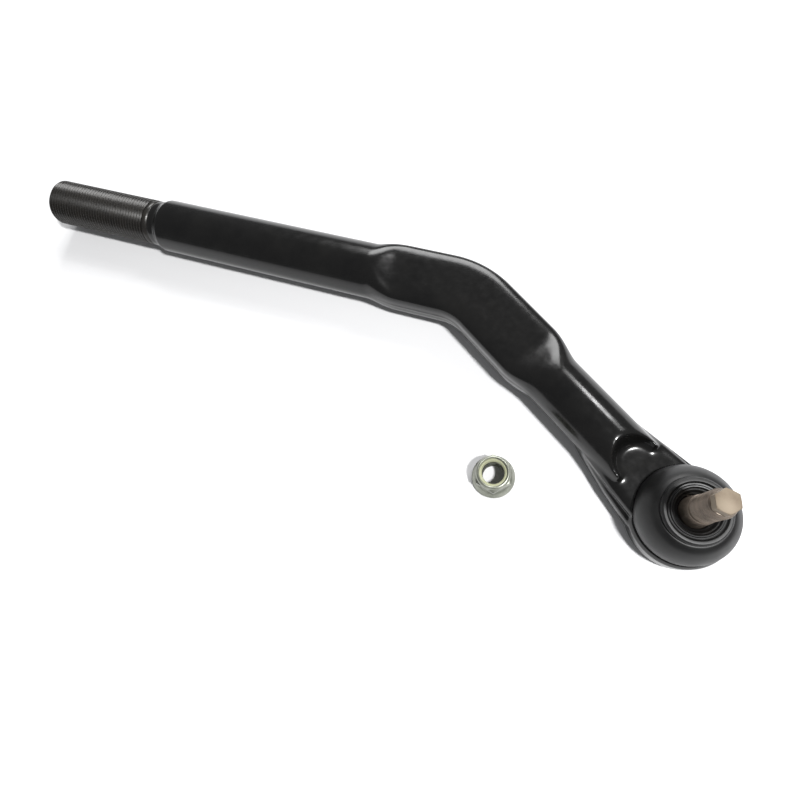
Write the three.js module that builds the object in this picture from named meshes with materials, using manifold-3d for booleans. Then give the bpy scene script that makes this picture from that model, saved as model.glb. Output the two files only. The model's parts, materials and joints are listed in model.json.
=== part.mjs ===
// Bent steering tie rod end with a loose flange lock nut. Millimetres, +Z up.
// The origin is the centre of the socket's flat bottom cover. The stud points up +Z,
// the threaded shank points along -X, and the arm bends in the plane of the floor.
import * as THREE from 'three';
import { mergeVertices } from 'three/addons/utils/BufferGeometryUtils.js';
import Module from 'manifold-3d';

const wasm = await Module();
wasm.setup();

// ---- Driving dimensions ----
const GAP = 0.3;                  // clearance left between pieces that touch

// Bar
const THREAD_D = 27;              // arm thread, outside
const THREAD_PITCH = 2;
const THREAD_TURNS = 35;
const THREAD_DEPTH = 1.2;
const TIP_CHAMFER = 1.6;
const SHANK_D = 30.8;
const NECK_D = 28.6;              // round neck between the bend and the socket
const AXIS_Z = Math.max(SHANK_D, NECK_D) / 2;  // height of the bar's centre line, so that the bar lies on the ground
const SHANK_OFFSET = 84.3;        // sideways from the socket axis to the shank axis
const TIP_X = -402;               // free end of the thread
const SHOULDER_X = -322.5;        // cone from the thread neck up to the shank
const SHOULDER_L = 3.5;
const FLAT_START_X = -184;        // round shank starts to flatten
const FLAT_FULL_X = -164;         // flattened section reached
const FLAT_W = 34.5;
const FLAT_T = 19.5;
const FLAT_SQUARE = 5.2;          // squareness of the flattened section, 2 is round
const BEND_ANGLE = THREE.MathUtils.degToRad(33.6);
const BEND_R = 42;
const NECK_FULL_R = 85;           // distances from the socket axis along the arm
const NECK_START_R = 106;
const SCOOP_R = 30;               // centre of the round-ended step from the neck to the pad
const SCOOP_D = 27.6;
const PAD_RISE = 4;               // flat pad's height over the bar's centre line
const WEB_START_R = 66;           // web under the neck starts here
const WEB_WIDE_R = 50;            // is as wide as the neck here
const WEB_END_R = 10;             // and ends inside the socket here
const WEB_LOW_Z = 1.6;
const FOOT_TOP_Z = 14;            // wider foot of the web, in line with the socket's outline

// Socket, all sized from the ball
const BALL_D = 24;
const SEAT_WALL = 4;              // polymer round the ball
const COVER_LEDGE = 2.3;          // end cover's rim outside the seats
const SOCKET_WALL = 5.9;          // steel outside the end cover
const BALL_Z = BALL_D / 2 + 2.5;
const RIM_Z = BALL_Z + 0.5;       // socket rim that the boot's skirt stands on
const SOCKET_TOP_Z = BALL_Z + BALL_D / 4 + 0.5;
const BOSS_Z = SOCKET_TOP_Z + 3;      // top of the boss that the boot's bead grips
const SKIRT_STEP = 3.8;           // rim's width from the socket's outside to the skirt's inside
const COVER_T = 2.9;
const LIP_T = 1.3;                // crimped lip under the cover
const LIP_PROUD = 0.15;           // lip's foot ring below the cover's face, so that the socket stands on it
const COVER_BORE_Z = 5.5;

// Boot and collar
const SKIRT_SET_BACK = 1.5;       // boot's skirt inside the socket's outline
const BOOT_WALL = 1.7;
const BOOT_Z = BALL_Z + BALL_D / 2 + 7;  // top of the boot's dome
const COLLAR_Z = BOOT_Z + 3;      // top of the sealing collar's lip
const COLLAR_WALL = 7.6;          // collar's lip outside the stud's taper

// Stud
const STUD_THREAD_D = 12;
const STUD_THREAD_PITCH = 1.25;
const STUD_THREAD_DEPTH = 0.75;
const STUD_NECK_D = 11.6;
const TAPER_LARGE_D = STUD_THREAD_D + 2.2;
const TAPER_SMALL_D = STUD_THREAD_D + 0.6;
const TAPER_START_Z = BOOT_Z - 2;
const TAPER_END_Z = TAPER_START_Z + 12;
const STUD_THREAD_END_Z = TAPER_END_Z + 21.5;
const HEX_AF = STUD_THREAD_D * 0.75;  // drive hex on the stud's tip
const HEX_TURN = THREE.MathUtils.degToRad(18.5);
const TIP_Z = STUD_THREAD_END_Z + 6.5;

// Nut
const NUT_X = -88.2;              // where the loose nut lies on the floor
const NUT_Y = -6;
const NUT_TURN = THREE.MathUtils.degToRad(16);
const NUT_AF = STUD_THREAD_D + 5;
const NUT_FLANGE_D = NUT_AF + 5.2;
const NUT_H = STUD_THREAD_D + 3.5;
const CROWN_D = NUT_AF + 0.4;     // rolled crown that holds the nylon ring
const CROWN_H = 3.4;
const INSERT_WALL = 1.4;

const AROUND = 28;                // facets round a turned piece
const BAR_AROUND = 20;            // facets round the bar
const FINE_AROUND = 38;           // facets round the socket and the boot

// ---- Helpers ----
const v2 = (pairs) => pairs.map(([r, z]) => new THREE.Vector2(Math.max(r, 0), z));

// A closed triangle mesh as a manifold solid, turned so that its faces look outward.
function solid(geometry) {
  geometry.deleteAttribute('normal');
  geometry.deleteAttribute('uv');
  const welded = mergeVertices(geometry, 1e-5);
  const pos = welded.attributes.position;
  const index = Array.from(welded.index.array);
  const tris = [];
  let volume = 0;
  const a = new THREE.Vector3(), b = new THREE.Vector3(), c = new THREE.Vector3();
  for (let i = 0; i < index.length; i += 3) {
    const [p, q, r] = index.slice(i, i + 3);
    if (p === q || q === r || r === p) continue;
    tris.push(p, q, r);
    a.fromBufferAttribute(pos, p);
    b.fromBufferAttribute(pos, q);
    c.fromBufferAttribute(pos, r);
    volume += a.dot(b.cross(c));
  }
  if (volume < 0) tris.reverse();
  const mesh = new wasm.Mesh({
    numProp: 3,
    vertProperties: new Float32Array(pos.array),
    triVerts: new Uint32Array(tris),
  });
  return new wasm.Manifold(mesh);
}

// Turned about +Z from [radius, height] pairs.
function turned(profile, around = AROUND) {
  const lathe = new THREE.LatheGeometry(v2(profile), around);
  lathe.rotateX(Math.PI / 2);
  return solid(lathe);
}

// Turned ring: the profile is closed on itself.
const ring = (profile, around = AROUND) => turned([...profile, profile[0]], around);

// Tube through stations of { at, dir, w, h, n }: half width, half height, and squareness n.
function loft(stations, around) {
  const up = new THREE.Vector3(0, 0, 1);
  const points = [];
  const signedPow = (v, e) => Math.sign(v) * Math.abs(v) ** e;
  for (const s of stations) {
    const side = new THREE.Vector3().crossVectors(up, s.dir).normalize();
    for (let i = 0; i < around; i += 1) {
      const t = (2 * Math.PI * i) / around;
      const u = signedPow(Math.cos(t), 2 / s.n) * s.w;
      const v = signedPow(Math.sin(t), 2 / s.n) * s.h;
      points.push(s.at.clone().addScaledVector(side, u).addScaledVector(up, v));
    }
  }
  const first = points.push(stations[0].at.clone()) - 1;
  const last = points.push(stations[stations.length - 1].at.clone()) - 1;
  const index = [];
  for (let k = 0; k < stations.length - 1; k += 1) {
    for (let i = 0; i < around; i += 1) {
      const j = (i + 1) % around;
      const a = k * around + i, b = k * around + j;
      index.push(a, b, a + around, b, b + around, a + around);
    }
  }
  const end = (stations.length - 1) * around;
  for (let i = 0; i < around; i += 1) {
    const j = (i + 1) % around;
    index.push(first, j, i, last, end + i, end + j);
  }
  const geometry = new THREE.BufferGeometry().setFromPoints(points);
  geometry.setIndex(index);
  return solid(geometry);
}

// Hexagonal bar across flats, standing on z0.
function hexBar(acrossFlats, z0, z1, turn = 0) {
  const hex = new THREE.CylinderGeometry(acrossFlats / Math.sqrt(3), acrossFlats / Math.sqrt(3), z1 - z0, 6);
  hex.rotateX(Math.PI / 2);
  hex.rotateZ(turn);
  hex.translate(0, 0, (z0 + z1) / 2);
  return solid(hex);
}

// V-shaped thread ridges as [radius, height] pairs, root first and last.
function ridges(outerR, depth, pitch, turns, z0) {
  const out = [];
  for (let i = 0; i < turns; i += 1) {
    out.push([outerR - depth, z0 + i * pitch], [outerR, z0 + (i + 0.5) * pitch]);
  }
  out.push([outerR - depth, z0 + turns * pitch]);
  return out;
}

const group = new THREE.Group();

function add(name, body, color, roughness, metalness) {
  const mesh = body.getMesh();
  const geometry = new THREE.BufferGeometry();
  geometry.setAttribute('position', new THREE.BufferAttribute(new Float32Array(mesh.vertProperties), 3));
  geometry.setIndex(new THREE.BufferAttribute(new Uint32Array(mesh.triVerts), 1));
  geometry.computeVertexNormals();
  const piece = new THREE.Mesh(geometry, new THREE.MeshStandardMaterial({ color, roughness, metalness }));
  piece.name = name;
  group.add(piece);
}

// ---- Arm: thread, neck, shank, flattened bend, round neck, web and socket in one forging ----
const SHANK_DIR = new THREE.Vector3(1, 0, 0);
const ARM_DIR = new THREE.Vector3(Math.cos(BEND_ANGLE), -Math.sin(BEND_ANGLE), 0);
const VERTEX = new THREE.Vector3(-SHANK_OFFSET / Math.tan(BEND_ANGLE), SHANK_OFFSET, AXIS_Z);
const onShank = (x) => new THREE.Vector3(x, SHANK_OFFSET, AXIS_Z);
const onArm = (r, z = AXIS_Z) => ARM_DIR.clone().multiplyScalar(-r).setZ(z);
const round = (at, dir, radius) => ({ at, dir, w: radius, h: radius, n: 2 });

function barStations() {
  const threadR = THREAD_D / 2, shankR = SHANK_D / 2, neckR = NECK_D / 2;
  const threadStart = TIP_X + TIP_CHAMFER;
  const threadEnd = threadStart + THREAD_TURNS * THREAD_PITCH;
  const out = [round(onShank(TIP_X), SHANK_DIR, threadR - THREAD_DEPTH - TIP_CHAMFER)];
  for (const [radius, x] of ridges(threadR, THREAD_DEPTH, THREAD_PITCH, THREAD_TURNS, threadStart)) {
    out.push(round(onShank(x), SHANK_DIR, radius));
  }
  out.push(round(onShank(threadEnd + THREAD_DEPTH), SHANK_DIR, threadR));
  out.push(round(onShank(SHOULDER_X), SHANK_DIR, threadR));
  out.push(round(onShank(SHOULDER_X + SHOULDER_L), SHANK_DIR, shankR));
  out.push(round(onShank(FLAT_START_X), SHANK_DIR, shankR));
  const blend = (at, dir, radius, s) => ({
    at,
    dir,
    w: THREE.MathUtils.lerp(radius, FLAT_W / 2, s),
    h: THREE.MathUtils.lerp(radius, FLAT_T / 2, s),
    n: THREE.MathUtils.lerp(2, FLAT_SQUARE, s),
  });
  const steps = 4, arcs = 8;
  for (let i = 1; i <= steps; i += 1) {
    const t = i / steps;
    const x = THREE.MathUtils.lerp(FLAT_START_X, FLAT_FULL_X, t);
    out.push(blend(onShank(x), SHANK_DIR, shankR, THREE.MathUtils.smoothstep(t, 0, 1)));
  }
  const start = VERTEX.clone().addScaledVector(SHANK_DIR, -BEND_R * Math.tan(BEND_ANGLE / 2));
  const centre = start.clone().add(new THREE.Vector3(0, -BEND_R, 0));
  for (let i = 0; i <= arcs; i += 1) {
    const a = (BEND_ANGLE * i) / arcs;
    const at = centre.clone().add(new THREE.Vector3(Math.sin(a), Math.cos(a), 0).multiplyScalar(BEND_R));
    out.push(blend(at, new THREE.Vector3(Math.cos(a), -Math.sin(a), 0), neckR, 1));
  }
  for (let i = 0; i <= steps; i += 1) {
    const t = i / steps;
    const r = THREE.MathUtils.lerp(NECK_START_R, NECK_FULL_R, t);
    out.push(blend(onArm(r), ARM_DIR, neckR, 1 - THREE.MathUtils.smoothstep(t, 0, 1)));
  }
  out.push(round(onArm(SCOOP_R), ARM_DIR, neckR));
  return out;
}

const ballR = BALL_D / 2;
const seatR = ballR + SEAT_WALL;
const coverR = seatR + COVER_LEDGE;
const socketR = coverR + SOCKET_WALL;
const bossR = seatR + 1;
const skirtInR = socketR - SKIRT_STEP + GAP;
const bootR = socketR - SKIRT_SET_BACK;
const padTopZ = AXIS_Z + PAD_RISE;

// The web under the neck widens towards the socket and ends inside its outline.
function webStations(topZ, endW) {
  const half = (topZ - WEB_LOW_Z) / 2, mid = WEB_LOW_Z + half;
  const neckR = NECK_D / 2;
  const section = (r, w, h) => ({ at: onArm(r, mid), dir: ARM_DIR, w, h, n: FLAT_SQUARE });
  return [
    section(WEB_START_R, neckR * 0.7, half * 0.7),
    section(WEB_WIDE_R, neckR, half),
    section(SCOOP_R, THREE.MathUtils.lerp(neckR, endW, 0.6), half),
    section(WEB_END_R, endW, half),
  ];
}
const footEndW = Math.sqrt(socketR ** 2 - WEB_END_R ** 2) - GAP;
const webEndW = footEndW - 2.8;

const lipR = coverR - 2.7;
const seatBoreR = seatR + 0.1;
const seatTopZ = BALL_Z + ballR * 0.35;
const mouthR = ballR * 0.9;
const mouthLowZ = SOCKET_TOP_Z + 0.8;

const socketOutside = turned([
  [0, -LIP_PROUD], [socketR - 2.2, -LIP_PROUD], [socketR - 0.5, 1.4], [socketR, 3], [socketR, RIM_Z - 3.2],
  [socketR - 0.5, RIM_Z - 1.2], [socketR - 1.4, RIM_Z], [socketR - SKIRT_STEP, RIM_Z],
  [socketR - SKIRT_STEP, SOCKET_TOP_Z], [bossR, SOCKET_TOP_Z], [bossR, BOSS_Z - 0.6], [bossR - 0.6, BOSS_Z],
  [0, BOSS_Z],
], FINE_AROUND);
const socketInside = turned([
  [0, -1], [lipR, -1], [lipR, LIP_T], [coverR + GAP, LIP_T], [coverR + GAP, COVER_BORE_Z],
  [seatBoreR, COVER_BORE_Z], [seatBoreR, seatTopZ], [mouthR, mouthLowZ], [ballR, BOSS_Z + 1], [0, BOSS_Z + 1],
]);
const clearTop = AXIS_Z + SHANK_D;
const skirtPocket = turned([
  [0, RIM_Z], [bootR + GAP, RIM_Z], [bootR + GAP, clearTop], [0, clearTop],
], FINE_AROUND);
const scoopR = SCOOP_D / 2;
const scoop = turned([
  [0, padTopZ], [scoopR - 4, padTopZ], [scoopR - 1.5, padTopZ + 2], [scoopR, AXIS_Z + NECK_D / 2],
  [scoopR, clearTop], [0, clearTop],
]).translate([-SCOOP_R * ARM_DIR.x, -SCOOP_R * ARM_DIR.y, 0]);
const bar = loft(barStations(), BAR_AROUND).subtract(scoop);
add('forged_arm',
  bar.add(loft(webStations(padTopZ, webEndW), BAR_AROUND))
    .add(loft(webStations(FOOT_TOP_Z, footEndW), BAR_AROUND))
    .subtract(skirtPocket).add(socketOutside).subtract(socketInside),
  '#101112', 0.28, 0.35);

// ---- Socket internals ----
const cupR = ballR + GAP;
const cupLowAngle = 136;          // the seats' span round the ball, in degrees off +Z
const seatSplitAngle = 103;
const cupHighAngle = 56;

// Points on a sphere about the ball centre, from polar angle a0 to a1.
function sphere(radius, a0, a1, steps) {
  const out = [];
  for (let i = 0; i <= steps; i += 1) {
    const a = THREE.MathUtils.degToRad(a0 + ((a1 - a0) * i) / steps);
    out.push([radius * Math.sin(a), BALL_Z + radius * Math.cos(a)]);
  }
  return out;
}

const seatOutR = seatBoreR - GAP;
const splitZ = (angle) => BALL_Z + cupR * Math.cos(THREE.MathUtils.degToRad(angle));
add('upper_bearing', ring([
  ...sphere(cupR, seatSplitAngle - 1, cupHighAngle, 8), [mouthR + 0.2, mouthLowZ - GAP],
  [seatOutR, seatTopZ - GAP], [seatOutR, splitZ(seatSplitAngle - 1)],
]), '#d8d4c4', 0.55, 0);
add('lower_seat', ring([
  ...sphere(cupR, cupLowAngle, seatSplitAngle + 1, 6), [seatOutR, splitZ(seatSplitAngle + 1)],
  [seatOutR, COVER_BORE_Z + 1.1], [seatOutR - 0.8, COVER_BORE_Z + 0.1],
]), '#d8d4c4', 0.55, 0);
const springT = 0.9;
const springLowZ = COVER_T + 0.35;
add('preload_spring', ring([
  [seatR - 1.1, springLowZ], [seatR - 1.1, springLowZ + springT],
  [ballR * 0.77, springLowZ + 1.05 + springT], [ballR * 0.77, springLowZ + 1.05],
]), '#6c6e70', 0.4, 0.9);
const cordR = 0.95;
const cordSteps = 8;
add('cover_seal', ring(Array.from({ length: cordSteps }, (_, i) => {
  const a = (i * 2 * Math.PI) / cordSteps;
  return [coverR - 1 + cordR * Math.cos(a), COVER_T + 1.3 + cordR * Math.sin(a)];
})), '#151515', 0.7, 0);
add('end_cover', turned([
  [0, 0], [lipR - 1, 0], [lipR - GAP, 0.5], [lipR - GAP, LIP_T + GAP], [coverR, LIP_T + GAP],
  [coverR, COVER_T], [0, COVER_T],
]), '#1a1b1c', 0.4, 0.6);

// ---- Ball stud ----
const studR = STUD_THREAD_D / 2;
const rootR = studR - STUD_THREAD_DEPTH;
const neckR = STUD_NECK_D / 2;
const neckAngle = THREE.MathUtils.radToDeg(Math.asin(neckR / ballR));
const neckZ = BALL_Z + Math.sqrt(ballR ** 2 - neckR ** 2);
const ballFlatAngle = 135.8;
const threadStartZ = TAPER_END_Z + 0.6;
const threadTurns = Math.floor((STUD_THREAD_END_Z - threadStartZ - 1) / STUD_THREAD_PITCH);
const hexRootR = HEX_AF / 2 - 0.6;
const studBody = turned([
  [0, BALL_Z + ballR * Math.cos(THREE.MathUtils.degToRad(ballFlatAngle))],
  ...sphere(ballR, ballFlatAngle, neckAngle, 14),
  [neckR, neckZ + 1.2], [neckR + 0.1, neckZ + 3.2], [TAPER_LARGE_D / 2 - 0.6, TAPER_START_Z - 1.8],
  [TAPER_LARGE_D / 2, TAPER_START_Z],
  [TAPER_SMALL_D / 2, TAPER_END_Z], [TAPER_SMALL_D / 2 - 0.4, TAPER_END_Z + 0.3],
  ...ridges(studR, STUD_THREAD_DEPTH, STUD_THREAD_PITCH, threadTurns, threadStartZ),
  [rootR, STUD_THREAD_END_Z], [rootR - 0.5, STUD_THREAD_END_Z + 0.8], [hexRootR, STUD_THREAD_END_Z + 0.8],
  [hexRootR, TIP_Z - 1], [0, TIP_Z - 1],
], 26);
const hexCap = turned([
  [0, STUD_THREAD_END_Z], [HEX_AF / 2 + 0.2, STUD_THREAD_END_Z + 0.9], [studR, STUD_THREAD_END_Z + 2.2],
  [studR, TIP_Z - 1], [HEX_AF / 2 - 0.1, TIP_Z], [0, TIP_Z],
], 26);
add('ball_stud',
  studBody.add(hexBar(HEX_AF, STUD_THREAD_END_Z + 0.2, TIP_Z + 1, HEX_TURN).intersect(hexCap)),
  '#8d7a63', 0.38, 0.85);

// ---- Boot, its press ring and the sealing collar ----
const pressT = 0.8;
const pressR = bossR + GAP;
add('boot_base_ring', ring([
  [pressR, SOCKET_TOP_Z + GAP], [pressR + pressT, SOCKET_TOP_Z + GAP], [pressR + pressT, BOSS_Z - 0.6],
  [pressR, BOSS_Z - 0.6],
]), '#55585a', 0.45, 0.9);
const beadR = pressR + pressT + GAP;
const collarInR = TAPER_LARGE_D / 2 + GAP;
const collarR = collarInR + COLLAR_WALL - 0.3;
const domeEndR = collarR + 0.6;
const domeHigh = BOOT_Z - SOCKET_TOP_Z;
const domeWide = bootR - domeEndR;
// Dome outline as shares of its width, measured in from the skirt, and of its height.
const bootDome = [[0, 0], [0.06, 0.16], [0.17, 0.36], [0.35, 0.58], [0.6, 0.8], [0.8, 0.92], [1, 1]]
  .map(([u, v]) => [bootR - domeWide * u, SOCKET_TOP_Z + domeHigh * v]);
const bootLiner = bootDome.slice(2, -1).reverse()
  .map(([r, z]) => [r - BOOT_WALL * 0.75, z - BOOT_WALL * 0.6]);
add('boot', ring([
  [skirtInR, RIM_Z + GAP], [bootR - 0.6, RIM_Z + GAP], [bootR, RIM_Z + 1], ...bootDome,
  [collarR - 1.6, BOOT_Z],
  [collarR - 1.8, BOOT_Z - BOOT_WALL], ...bootLiner, [beadR + 0.6, BOSS_Z + 0.6],
  [beadR, BOSS_Z - 0.2], [beadR, SOCKET_TOP_Z + GAP], [skirtInR, SOCKET_TOP_Z + GAP],
], FINE_AROUND), '#1c1d1d', 0.5, 0);
// Foot of the collar, its lip, two grooves and the funnel down to the taper.
const footOut = COLLAR_WALL - 3.4;
add('boot_collar', ring([
  [collarInR + 0.1, TAPER_START_Z - 0.6], [collarInR + footOut, TAPER_START_Z - 0.1],
  [collarInR + footOut + 0.5, BOOT_Z + GAP], [collarR + 0.2, BOOT_Z + GAP],
  [collarR, COLLAR_Z - 0.7], [collarR - 0.8, COLLAR_Z], [collarR - 2.4, COLLAR_Z],
  [collarR - 2.9, COLLAR_Z - 0.8],
  [collarR - 3.5, COLLAR_Z - 0.9], [collarR - 3.9, COLLAR_Z - 0.2], [collarR - 4.5, COLLAR_Z - 0.3],
  [collarR - 5, COLLAR_Z - 1.2], [collarR - 5.6, COLLAR_Z - 1.4], [collarInR + 1, TAPER_START_Z + 1],
  [collarInR, TAPER_START_Z + 0.6],
], 32), '#191a1a', 0.5, 0);
const clampR = collarInR + footOut - 0.2;
const clampLowZ = TAPER_START_Z - 1.1;
add('collar_ring', ring([
  [clampR - 0.6, clampLowZ + GAP], [clampR + 0.1, clampLowZ], [clampR + 0.7, clampLowZ + GAP],
  [clampR + 0.5, clampLowZ + 0.7], [clampR - 0.4, clampLowZ + 0.7],
], 32), '#6a6c6e', 0.35, 0.9);

// ---- Loose flange lock nut ----
const nutBoreR = studR - 0.55;
const flangeR = NUT_FLANGE_D / 2;
const crownR = CROWN_D / 2;
const insertR = crownR - INSERT_WALL;
const hexTopZ = NUT_H - CROWN_H;
const hexCornerR = NUT_AF / Math.sqrt(3);
const nutOutline = turned([
  [0, 0], [flangeR - 1.2, 0], [flangeR, 0.7], [flangeR, 1.6], [flangeR - 0.5, 2.1],
  [hexCornerR - 0.3, 4.2], [0, 5.6],
], 32);
const hexEnvelope = turned([
  [0, 1], [hexCornerR + 1, 1], [hexCornerR + 1, hexTopZ - 1], [crownR - 0.1, hexTopZ], [0, hexTopZ],
], 32);
const crown = turned([
  [0, hexTopZ - 1], [crownR, hexTopZ - 1], [crownR, NUT_H - 1], [crownR - 0.5, NUT_H - 0.2],
  [crownR - 1.1, NUT_H], [0, NUT_H],
], 32);
const bore = turned([
  [0, -1], [nutBoreR + 1.6, -1], [nutBoreR + 0.8, 0], [nutBoreR, 0.9], [nutBoreR, hexTopZ - 0.6],
  [insertR + GAP, hexTopZ - 0.6], [insertR + GAP, NUT_H - 1.2], [insertR - GAP, NUT_H - 0.7],
  [insertR - GAP, NUT_H + 1], [0, NUT_H + 1],
], 26);
const placed = (body) => body.rotate([0, 0, THREE.MathUtils.radToDeg(NUT_TURN)]).translate([NUT_X, NUT_Y, 0]);
add('flange_nut',
  placed(nutOutline.add(hexBar(NUT_AF, 1, NUT_H, 0).intersect(hexEnvelope)).add(crown).subtract(bore)),
  '#8a8c80', 0.35, 0.9);
add('nylon_insert', placed(ring([
  [nutBoreR + 0.1, hexTopZ - GAP], [insertR, hexTopZ - GAP], [insertR, NUT_H - 1.6],
  [nutBoreR + 0.6, NUT_H - 1.5], [nutBoreR + 0.1, NUT_H - 2],
], 24)), '#cfd3a8', 0.45, 0);

export default group;
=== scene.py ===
"""Looks for a bent steering tie rod end: forged arm, booted ball stud and a loose flange lock nut.

Shapes are worked out in millimetres in the row frame and turned into metres when a mesh is made.
"""
import json
import math

import bpy
import numpy as np
from mathutils import Matrix, Vector


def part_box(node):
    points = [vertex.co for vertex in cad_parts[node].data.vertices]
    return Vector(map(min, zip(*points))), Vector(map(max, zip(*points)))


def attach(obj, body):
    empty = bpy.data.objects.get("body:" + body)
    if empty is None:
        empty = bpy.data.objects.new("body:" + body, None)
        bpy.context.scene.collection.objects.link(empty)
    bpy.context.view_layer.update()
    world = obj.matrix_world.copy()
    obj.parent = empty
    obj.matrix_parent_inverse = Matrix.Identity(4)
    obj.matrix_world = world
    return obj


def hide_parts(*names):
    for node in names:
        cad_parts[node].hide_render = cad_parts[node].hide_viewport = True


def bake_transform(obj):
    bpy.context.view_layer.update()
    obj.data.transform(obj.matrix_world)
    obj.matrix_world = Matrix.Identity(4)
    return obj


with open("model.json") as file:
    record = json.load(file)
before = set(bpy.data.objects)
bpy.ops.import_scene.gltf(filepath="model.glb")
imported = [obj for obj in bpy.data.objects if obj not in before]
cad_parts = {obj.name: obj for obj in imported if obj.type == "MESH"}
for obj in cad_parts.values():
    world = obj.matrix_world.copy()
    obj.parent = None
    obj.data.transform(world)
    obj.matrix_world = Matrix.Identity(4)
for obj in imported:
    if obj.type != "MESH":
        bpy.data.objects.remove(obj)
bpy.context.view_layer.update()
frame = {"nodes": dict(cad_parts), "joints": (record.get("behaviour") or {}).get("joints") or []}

MM = 0.001

# ---- Driving dimensions, millimetres ----
arm_low, arm_high = (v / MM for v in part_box("forged_arm"))
nut_low, nut_high = (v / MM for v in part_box("flange_nut"))
stud_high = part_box("ball_stud")[1] / MM
boot_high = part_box("boot")[1] / MM
collar_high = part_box("boot_collar")[1] / MM

# Flattened bend
FLAT_W = 34.5
FLAT_T = 19.5
FLAT_SQUARE = 5.2   # superellipse power of the flat section, 2 being round
SHANK_Y = arm_high.y - FLAT_W / 2
# Threaded end and shank
TIP_X = arm_low.x
THREAD_R = 13.5
THREAD_DEPTH = 1.2
THREAD_PITCH = 2.0
THREAD_TURNS = 35
SHANK_R = 15.4
AXIS_Z = SHANK_R     # the bar lies on the ground
SHOULDER_X = -322.5
SHOULDER_L = 3.5
FLAT_START_X = -184.0
FLAT_FULL_X = -164.0
# Bend, neck, scoop and web, the last three measured from the stud axis along the arm
BEND = math.radians(33.6)
BEND_R = 42.0
NECK_R = 14.3
NECK_START = 106.0
NECK_FULL = 85.0
SCOOP_AT = 30.0
SCOOP_R = 13.8
PAD_Z = AXIS_Z + 4.0
WEB_START = 66.0
WEB_WIDE = 50.0
WEB_END = 10.0
WEB_LOW_Z = 1.6
FOOT_Z = 14.0
# Socket
SOCKET_R = arm_high.x
LIP_PROUD = -arm_low.z
BOSS_R = 17.0
COVER_BORE_R = 18.6
COVER_BORE_Z = 5.5
BALL_Z = frame["joints"][0]["pos_m"][2] / MM
BALL_R = 12.0
RIM_Z = BALL_Z + 0.5
SOCKET_TOP_Z = BALL_Z + 6.5
BOSS_Z = BALL_Z + 9.5
STEP_R = SOCKET_R - 3.8
BOOT_R = boot_high.x
# Stud
STUD_R = 6.0
STUD_PITCH = 1.25
TAPER_TOP_Z = 43.5
THREAD_TOP_Z = 65.0
TIP_Z = stud_high.z
HEX_AF = 9.0
HEX_TURN = math.radians(18.5)
# Nut
NUT_X = (nut_low.x + nut_high.x) / 2
NUT_Y = (nut_low.y + nut_high.y) / 2
NUT_H = nut_high.z
NUT_AF = 17.0
NUT_TURN = math.radians(16)
NUT_BORE_R = 5.45
CROWN_R = 8.7
CROWN_H = 3.4
INSERT_R = 7.3

ARM_DIR = np.array([math.cos(BEND), -math.sin(BEND), 0.0])
UP = np.array([0.0, 0.0, 1.0])


# ---- Mesh helpers ----
def mesh_object(name, verts, faces, smooth=True):
    """A mesh object from millimetre vertices."""
    mesh = bpy.data.meshes.new(name)
    mesh.from_pydata([tuple(float(c) * MM for c in v) for v in verts], [], faces)
    mesh.validate()
    mesh.update()
    if smooth:
        mesh.shade_smooth()
    obj = bpy.data.objects.new(name, mesh)
    bpy.context.scene.collection.objects.link(obj)
    return obj


def filleted(points, closed=False, steps=5):
    """A polyline of (r, z) or (r, z, fillet) points with its corners rounded by arcs."""
    out = []
    count = len(points)
    for i, point in enumerate(points):
        here = np.array(point[:2], float)
        radius = point[2] if len(point) > 2 else 0.0
        if radius <= 0 or (not closed and i in (0, count - 1)):
            out.append(tuple(here))
            continue
        before = np.array(points[i - 1][:2], float) - here
        after = np.array(points[(i + 1) % count][:2], float) - here
        reach = min(np.linalg.norm(before), np.linalg.norm(after)) * 0.48
        before /= np.linalg.norm(before)
        after /= np.linalg.norm(after)
        half = math.acos(max(-1.0, min(1.0, float(before @ after)))) / 2
        if half > math.radians(88):
            out.append(tuple(here))
            continue
        cut = min(radius / math.tan(half), reach)
        start, end = here + before * cut, here + after * cut
        for k in range(steps + 1):
            t = k / steps
            out.append(tuple((1 - t) ** 2 * start + 2 * t * (1 - t) * here + t * t * end))
    return out


def spun(profile, around=96, closed=False):
    """Vertices and faces of a profile of (r, z) turned about +Z."""
    verts, rings = [], []
    for r, z in profile:
        if r < 1e-6:
            rings.append([len(verts)])
            verts.append((0.0, 0.0, z))
            continue
        first = len(verts)
        for i in range(around):
            a = 2 * math.pi * i / around
            verts.append((r * math.cos(a), r * math.sin(a), z))
        rings.append(list(range(first, first + around)))
    faces = []
    upper_rings = rings[1:] + rings[:1] if closed else rings[1:]
    for low, high in zip(rings, upper_rings):
        for i in range(around):
            j = (i + 1) % around
            if len(low) == 1 and len(high) == 1:
                continue
            if len(low) == 1:
                faces.append((low[0], high[j], high[i]))
            elif len(high) == 1:
                faces.append((low[i], low[j], high[0]))
            else:
                faces.append((low[i], low[j], high[j], high[i]))
    return verts, faces


def turned(name, profile, around=96, closed=False):
    """A turned piece with its corners filleted, its faces pointing out."""
    verts, faces = spun(filleted(profile, closed), around, closed)
    return mesh_object(name, verts, faces)


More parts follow.
